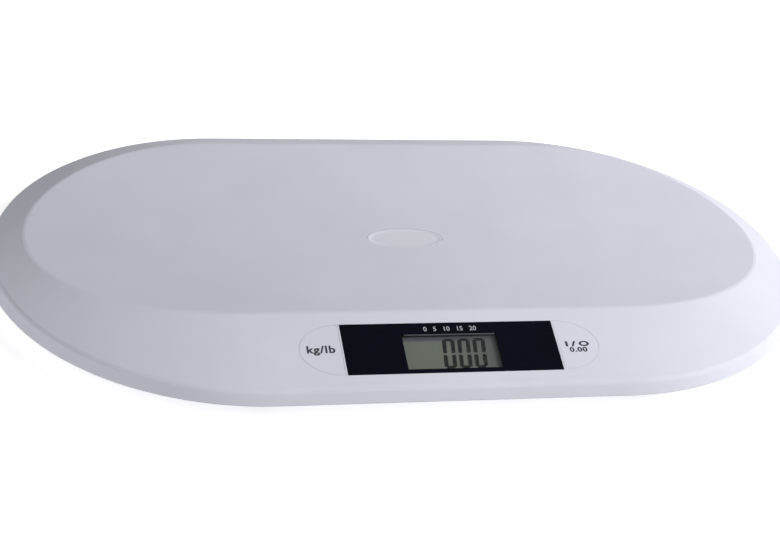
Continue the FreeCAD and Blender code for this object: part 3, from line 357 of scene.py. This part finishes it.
def piece(name, bm, place, material, body="housing", replaces=()):
    """Links a mesh as a piece of the object. Its bmesh is in millimetres about its place."""
    bmesh.ops.recalc_face_normals(bm, faces=bm.faces)
    bm.transform(Matrix.Diagonal((MM, MM, MM, 1)))
    bm.transform(place)
    mesh = bpy.data.meshes.new(name)
    bm.to_mesh(mesh)
    bm.free()
    mesh.materials.append(material)
    obj = bpy.data.objects.new(name, mesh)
    scene.collection.objects.link(obj)
    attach(obj, body)
    if replaces:
        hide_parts(*replaces)
    return obj


def add_prism(bm, corners, low, high):
    """An upright prism over corners of (x, y)."""
    bottom = [bm.verts.new((x, y, low)) for x, y in corners]
    top = [bm.verts.new((x, y, high)) for x, y in corners]
    bm.faces.new(bottom[::-1])
    bm.faces.new(top)
    for k in range(len(corners)):
        after = (k + 1) % len(corners)
        bm.faces.new((bottom[k], bottom[after], top[after], top[k]))


def rectangle(x, y, length, width):
    a, b = length / 2, width / 2
    return [(x - a, y - b), (x + a, y - b), (x + a, y + b), (x - a, y + b)]


def full_turn(steps):
    """Directions evenly round a circle."""
    return [2 * math.pi * k / steps for k in range(steps)]


FONT_SHARE = 1.3  # font size over the letters' height, before they are scaled to measure
INK_HALF = 0.02  # mm, half the thickness of lettering


def text_bmesh(words, length, height, bold, spacing):
    """Lettering as a flat solid about its middle, in millimetres."""
    curve = bpy.data.curves.new("letters", "FONT")
    curve.body = words
    curve.size = height * FONT_SHARE
    curve.offset = bold
    curve.space_character = spacing
    curve.extrude = INK_HALF
    curve.resolution_u = 4
    shown = bpy.data.objects.new("letters", curve)
    mesh = bpy.data.meshes.new_from_object(shown)
    bm = bmesh.new()
    bm.from_mesh(mesh)
    bpy.data.objects.remove(shown)
    bpy.data.meshes.remove(mesh)
    xs = [v.co.x for v in bm.verts]
    ys = [v.co.y for v in bm.verts]
    middle = Vector(((min(xs) + max(xs)) / 2, (min(ys) + max(ys)) / 2, 0))
    bmesh.ops.translate(bm, verts=bm.verts, vec=-middle)
    bmesh.ops.scale(bm, verts=bm.verts, vec=(length / (max(xs) - min(xs)), height / (max(ys) - min(ys)), 1))
    return bm


# --- display -----------------------------------------------------------------------------------------

# Sizes and places are in millimetres on the slope, except where another unit is named.
DIGIT_MIDDLES = (-1.6, 8.1, 17.8)
DIGIT_FOOT, DIGIT_WAIST, DIGIT_TOP = 15.3, 26.4, 38.3
DIGIT_HALF = 2.7  # from a figure's middle to the middle of its upright bars
DIGIT_LEAN = 0.095  # aside for each millimetre up
UPRIGHT, LEVEL = 2.55, 2.1  # widths of a figure's bars
SEGMENT_GAP = 0.55
# depths under the top of the glass, and the steps that keep crossing bars apart
GLASS_SIZE, GLASS_FOOT = (66, 31.5), 2.8
POLARISER_SIZE, POLARISER_FOOT, POLARISER_FACE = (64, 30), 0.16, 0.09
FIGURE_FOOT, FIGURE_FACE, FIGURE_STEP = 0.085, 0.055, 0.004
# a grey strip inside the window's top edge, a painted reflection of the bezel's lit inner wall: aside,
# inside the window's edge, shorter than it, wide, foot and top
EDGE_SHIFT, EDGE_INSET, EDGE_SHORTER, EDGE_WIDTH, EDGE_LEVELS = 0.6, 0.25, 2, 0.4, (-1.55, -0.5)
CRYSTAL_OLIVE = ((0.131, 0.141, 0.1135), (0.139, 0.149, 0.1195))
# painted reflection: the crystal's right side drawn darker and bluer
CRYSTAL_REFLECTED_BLUE = ((0.074, 0.079, 0.077), (0.078, 0.083, 0.081))
# the painted dark reflection in the band along the top of the crystal
CRYSTAL_REFLECTED_BAND = (0.066, 0.068, 0.078)
REFLECTION_START, REFLECTION_END = -0.005, 0.032  # metres along X, where the olive crystal turns into the painted bluish reflection
REFLECTED_BAND_V, REFLECTED_BAND_FADE = 36.6, 1.6  # foot of the painted dark reflection band along the top, and over how far it sets in
MARKS = (  # piece, words, length, height, boldness, spacing, x, v, ink, slot, body
    ("range_numbers", "0   5   10   15   20", 33.7, 3.5, 0.04, 1.0, 1.4, 44.2,
     white_ink, "black_bezel", "housing"),
    ("unit_key_mark", "kg/lb", 17.4, 7.4, 0.3, 1.12, -81.3, 29.3, ink, "white_keys", "unit_key_body"),
    ("power_key_mark", "I / O", 15.5, 4.1, 0.24, 1.0, 80.8, 30.1, ink, "white_keys", "power_key_body"),
    ("zero_key_mark", "0.00", 11.5, 3.8, 0.18, 1.12, 80.6, 25.6, ink, "white_keys", "power_key_body"),
)


def segment(start, end, width, tip=0.5):
    """A bar with blunt pointed ends from start to end."""
    start, end = Vector(start), Vector(end)
    along = (end - start).normalized()
    across = Vector((-along.y, along.x)) * width / 2
    tip *= along
    return [tuple(corner) for corner in (start, start + tip - across, end - tip - across, end,
                                         end - tip + across, start + tip + across)]


def digit_bars(middle, lit):
    """The bars of a seven segment digit, which leans to the right: lit names them a to g."""
    x0, x1 = middle - DIGIT_HALF, middle + DIGIT_HALF
    y0, y1 = DIGIT_FOOT + LEVEL / 2, DIGIT_TOP - LEVEL / 2
    low, high = DIGIT_WAIST - SEGMENT_GAP, DIGIT_WAIST + SEGMENT_GAP
    bars = {
        "a": ((x0, y1), (x1, y1)), "b": ((x1, high), (x1, y1)), "c": ((x1, y0), (x1, low)),
        "d": ((x0, y0), (x1, y0)), "e": ((x0, y0), (x0, low)), "f": ((x0, high), (x0, y1)),
        "g": ((x0, DIGIT_WAIST), (x1, DIGIT_WAIST)),
    }
    outlines = [segment(*bars[name], LEVEL if name in "adg" else UPRIGHT) for name in lit]
    return [[(x + DIGIT_LEAN * (y - DIGIT_WAIST), y) for x, y in outline] for outline in outlines]


def make_display():
    x, v, length, width = APERTURE
    bm = bmesh.new()
    add_prism(bm, rectangle(x, v, *GLASS_SIZE), GLASS_TOP - GLASS_FOOT, GLASS_TOP - POLARISER_FOOT)
    bevelled(piece("lcd_glass_plate", bm, SLOPE, materials["lcd_glass"],
                   replaces=("display_glass",)), 0.25)
    bm = bmesh.new()
    add_prism(bm, rectangle(x, v, *POLARISER_SIZE), GLASS_TOP - POLARISER_FOOT, GLASS_TOP - POLARISER_FACE)
    piece("lcd_polariser", bm, SLOPE, lcd_material())
    bm = bmesh.new()
    for middle in DIGIT_MIDDLES:
        for k, bar in enumerate(digit_bars(middle, "abcdef")):
            add_prism(bm, bar, GLASS_TOP - FIGURE_FOOT, GLASS_TOP - FIGURE_FACE + FIGURE_STEP * k)
    piece("lcd_figures", bm, SLOPE, lcd_ink)
    # a grey strip along the window's top edge: a painted reflection of the bezel's lit inner wall
    bm = bmesh.new()
    add_prism(bm, rectangle(x + EDGE_SHIFT, v + width / 2 - EDGE_INSET, length - EDGE_SHORTER, EDGE_WIDTH),
              *EDGE_LEVELS)
    bevelled(piece("window_edge_reflection", bm, SLOPE, edge_reflection_grey), 0.1)


def lcd_material():
    """Grey green crystal with a painted bluish reflection to the right and a painted dark band of reflection
    along the top.
    """
    mat, nt = new_material("lcd_crystal")
    bsdf = nt.nodes["Principled BSDF"]
    place = object_place(nt)
    axes = nt.nodes.new("ShaderNodeSeparateXYZ")
    nt.links.new(place, axes.inputs[0])
    # the right of the crystal turns darker and bluer: a painted reflection
    along = ranged(nt, axes.outputs["X"], REFLECTION_START, REFLECTION_END)
    speck = mapped(nt, noise(nt, place, 2600, 2), 0, 1)
    olive = blended(nt, speck, *CRYSTAL_OLIVE)
    reflected_blue = blended(nt, speck, *CRYSTAL_REFLECTED_BLUE)
    body = blended(nt, along.outputs[0], olive, reflected_blue)
    # a darker band along the top: a painted reflection
    rise = CREASE_Y + REFLECTED_BAND_V * MM * math.cos(SLOPE_ANGLE)
    top = ranged(nt, axes.outputs["Y"], rise, rise + REFLECTED_BAND_FADE * MM)
    top.interpolation_type = "SMOOTHSTEP"
    with_reflected_band = blended(nt, top.outputs[0], body, CRYSTAL_REFLECTED_BAND)
    nt.links.new(with_reflected_band, bsdf.inputs["Base Color"])
    nt.links.new(mapped(nt, noise(nt, place, 900, 2), 0.35, 0.5), bsdf.inputs["Roughness"])
    bumped(nt, bsdf, noise(nt, place, 3000, 2), 0.1, 0.00001)
    bsdf.inputs["Specular IOR Level"].default_value = 0.2
    return mat


def make_marks():
    """Plain generic marks on the panel and the keys."""
    for name, words, length, height, bold, spacing, x, v, colour, slot, body in MARKS:
        bm = text_bmesh(words, length, height, bold, spacing)
        piece(name, bm, on_slope(x, v, INK_HALF), colour, body=body)


# --- keys ----------------------------------------------------------------------------------------------

KEY_OPENING = (68.7, 26, 19.2)  # straight side from the middle, reach of the round end, half width
KEY_GAP = 0.3
LIP = ((0.06, -1.2), (0.06, -0.16), (0.14, -0.06), (KEY_GAP, -0.12), (KEY_GAP, -1.2))  # inset and level


def half_oval(side, inset, steps=48):
    """Outline of a key, inset from its opening."""
    straight, reach, half = KEY_OPENING
    straight, reach, half = straight + inset, reach - 2 * inset, half - inset
    turns = [math.pi * (k / steps - 0.5) for k in range(steps + 1)]
    return [(side * (straight + reach * math.cos(t)), half * math.sin(t)) for t in turns]


def make_seals():
    """A soft lip round each key, which closes most of the gap to the tray."""
    for label, side in (("unit", -1), ("power", 1)):
        bm = bmesh.new()
        rings = [[bm.verts.new((x, y, z)) for x, y in half_oval(side, inset)] for inset, z in LIP]
        for k, ring in enumerate(rings):
            after = rings[(k + 1) % len(rings)]
            for j in range(len(ring)):
                on = (j + 1) % len(ring)
                bm.faces.new((ring[j], ring[on], after[on], after[j]))
        piece(f"{label}_key_lip", bm, on_slope(0, BEZEL_V), materials["white_keys"],
              body=f"{label}_key_body")


# --- badge, feet, screws and batteries -------------------------------------------------------------------

# Sizes and places are in millimetres in the part's frame.
BADGE = (0, -2, 52, 26)  # middle x, middle y, length, width
BADGE_FOOT, BADGE_TOP = 28.5, 29.45
BADGE_ROUND = 0.12  # height of the rounding at its edge
BORDER_START, BORDER_WIDTH, BORDER_STEPS = 0.15, 3.8, 8
BORDER_FLANK = 1.1  # width of the border along the long sides, over that at the ends
HOLLOW = 0.3  # half the depth of the hollow inside the border


def ellipse(x, y, length, width, steps=96):
    return [(x + length / 2 * math.cos(t), y + width / 2 * math.sin(t)) for t in full_turn(steps)]


def add_shell(bm, rings):
    """A closed skin through rings of (x, y, z), flat at both ends."""
    rows = [[bm.verts.new(point) for point in ring] for ring in rings]
    for row, after in zip(rows, rows[1:]):
        for k in range(len(row)):
            on = (k + 1) % len(row)
            bm.faces.new((row[k], row[on], after[on], after[k]))
    bm.faces.new(rows[0][::-1])
    bm.faces.new(rows[-1])


def smooth(obj):
    for face in obj.data.polygons:
        face.use_smooth = True
    return obj


def make_badge():
    """A bare oval plate, hollowed a little, with a soft border."""
    x, y, length, width = BADGE
    rings = [[(a, b, BADGE_FOOT) for a, b in ellipse(x, y, length, width)],
             [(a, b, BADGE_TOP - BADGE_ROUND) for a, b in ellipse(x, y, length, width)]]
    for k in range(BORDER_STEPS + 1):
        share = k / BORDER_STEPS
        inset = BORDER_START + BORDER_WIDTH * share
        drop = HOLLOW * (1 - math.cos(math.pi * share))
        rings.append([(a, b, BADGE_TOP - drop)
                      for a, b in ellipse(x, y, length - 2 * inset, width - 2 * BORDER_FLANK * inset)])
    bm = bmesh.new()
    add_shell(bm, rings)
    smooth(piece("badge_plate", bm, Matrix(), materials["badge_gloss"], replaces=("badge",)))


def spun(x, y, profile, steps=64):
    """Rings of a turned shape about an upright axis, through its (radius, z)."""
    turns = full_turn(steps)
    return [[(x + r * math.cos(t), y + r * math.sin(t), z) for t in turns] for r, z in profile]


FOOT_X, FOOT_Y = 118, 135
PAD = ((2.8, 0.5), (3.4, 0.4), (3.7, 0), (6.0, 0), (6.2, 0.45), (6.9, 0.45), (7.1, 0), (8.9, 0), (9.1, 0.45),
       (9.8, 0.45), (10.0, 0), (11.8, 0), (12.5, 0.3), (12.9, 0.8), (13, 1.4), (13, 3))


def make_pads():
    """Rubber pads with two grooves and a dimple in the face they stand on."""
    for end, y in (("front", -FOOT_Y), ("back", FOOT_Y)):
        for hand, x in (("left", -FOOT_X), ("right", FOOT_X)):
            bm = bmesh.new()
            add_shell(bm, spun(x, y, PAD))
            piece(f"rubber_pad_{end}_{hand}", bm, Matrix(), materials["foot_rubber"],
                  replaces=(f"foot_pad_{end}_{hand}",))


SHELL_SCREWS = ((-235, 0), (235, 0), (0, -86), (0, 130), (-140, -86), (140, -86), (-140, 95), (140, 95))
CROSS_REACH, CROSS_HALF = 1.45, 0.33
CROSS_CORNER = math.degrees(math.atan2(CROSS_HALF, CROSS_REACH))
# in each quarter, directions to two outer corners of the cross, to its inner one at 45, and between them
SCREW_TURNS = [math.radians(90 * quarter + turn) for quarter in range(4)
               for turn in (0, CROSS_CORNER, 20, 28, 36, 45, 54, 62, 70, 90 - CROSS_CORNER)]
SCREW_SHANK = ((0.5, 22.4), (1.5, 21.4), (1.5, 10.5))  # radius and height
SCREW_HEAD = ((2.8, 10.5), (2.8, 9.3), (2.68, 8.9), (2.35, 8.62), (1.8, 8.5))
CROSS_MOUTH, CROSS_FLOOR, CROSS_TAPER = 8.5, 9.6, 0.72


def cross(turn, share):
    """Distance from the middle to the edge of a cross recess."""
    large, small = sorted((abs(math.cos(turn)), abs(math.sin(turn))), reverse=True)
    return share * min(CROSS_REACH / large, CROSS_HALF / max(small, 0.001))


def make_screws():
    """Pan head screws with a cross recess, sunk in the base."""
    bm = bmesh.new()
    for x, y in SHELL_SCREWS:
        reaches = [(lambda turn, r=r: r, z) for r, z in SCREW_SHANK + SCREW_HEAD]
        reaches += [(lambda turn: cross(turn, 1), CROSS_MOUTH),
                    (lambda turn: cross(turn, CROSS_TAPER), CROSS_FLOOR)]
        add_shell(bm, [[(x + reach(turn) * math.cos(turn), y + reach(turn) * math.sin(turn), z)
                        for turn in SCREW_TURNS] for reach, z in reaches])
    piece("shell_screw_set", bm, Matrix(), materials["screw_steel"],
          replaces=("shell_screws",))


DIP = (44.0, -4.3, 12)  # y and z of its axis, radius
RIB_PLACES, RIB_LENGTH, RIB_WIDTH = (41.6, 43.2, 44.8, 46.4), 7.8, 0.55
RIB_PROUD, RIB_SUNK = 0.3, 0.15  # below the dip's roof, and into the door above it
ARROW, ARROW_LEVELS = [(-3.2, 55.2), (0, 50.4), (3.2, 55.2)], (6.75, 7.1)


def make_door_grip():
    """Ribs in the door's finger dip, and a raised arrow that points to the latch."""
    bm = bmesh.new()
    axis_y, axis_z, radius = DIP
    for y in RIB_PLACES:
        roof = axis_z + math.sqrt(radius ** 2 - (y - axis_y) ** 2)
        add_prism(bm, rectangle(0, y, RIB_LENGTH, RIB_WIDTH), roof - RIB_PROUD, roof + RIB_SUNK)
    add_prism(bm, ARROW, *ARROW_LEVELS)
    bevelled(piece("battery_door_grip", bm, Matrix(), materials["white_base"],
                   body="battery_door"), 0.1)


BATTERY_Z, BATTERY_RADIUS = 14.8, 5.2
CELLS = (("front", 19.85, -1, 49.6), ("back", -19.85, 1, 60.4))  # name, flat end's x, way to the stud, y
JACKET = ((0.3, 4.5), (0.3, 4.9), (0.55, BATTERY_RADIUS),  # distance and radius, as in the next three
          (43.15, BATTERY_RADIUS), (43.4, 4.9), (43.4, 4.5))
BAND_UNDER, BAND_OVER = BATTERY_RADIUS - 0.1, BATTERY_RADIUS + 0.02
BAND = ((36.2, BAND_UNDER), (36.2, BAND_OVER), (42.8, BAND_OVER), (42.8, BAND_UNDER))
FLAT_END = ((0.35, 4.7), (0.15, 4.7), (0, 4.3), (0, 2.6), (0.12, 2.3))
STUD_END = ((43.35, 4.7), (43.6, 4.6), (43.7, 4.2), (43.7, 1.9), (44.3, 1.9), (44.5, 1.6))


def add_rod(bm, start, way, y, profile, steps=48):
    """A turned shape along X from start, through its (distance, radius)."""
    turns = full_turn(steps)
    add_shell(bm, [[(start + way * along, y + r * math.cos(t), BATTERY_Z + r * math.sin(t)) for t in turns]
                   for along, r in profile])


def make_batteries():
    """Cells with a plain jacket, a light band at the stud end and bare metal ends."""
    for label, start, way, y in CELLS:
        bm = bmesh.new()
        add_rod(bm, start, way, y, JACKET)
        piece(f"battery_{label}_jacket", bm, Matrix(), materials["battery_jacket"],
              replaces=(f"battery_{label}",))
        bm = bmesh.new()
        add_rod(bm, start, way, y, BAND)
        piece(f"battery_{label}_band", bm, Matrix(), battery_band)
        bm = bmesh.new()
        add_rod(bm, start, way, y, FLAT_END)
        add_rod(bm, start, way, y, STUD_END)
        piece(f"battery_{label}_ends", bm, Matrix(), materials["contact_metal"])


add_camera()
add_world()
for lamp in LAMPS:
    add_lamp(*lamp)
add_floor()
dress_nodes()
for name, width in SOFTENED:
    bevelled(nodes[name], width)
even_shading("upper_shell")
make_display()
make_marks()
make_seals()
make_badge()
make_pads()
make_screws()
make_door_grip()
make_batteries()
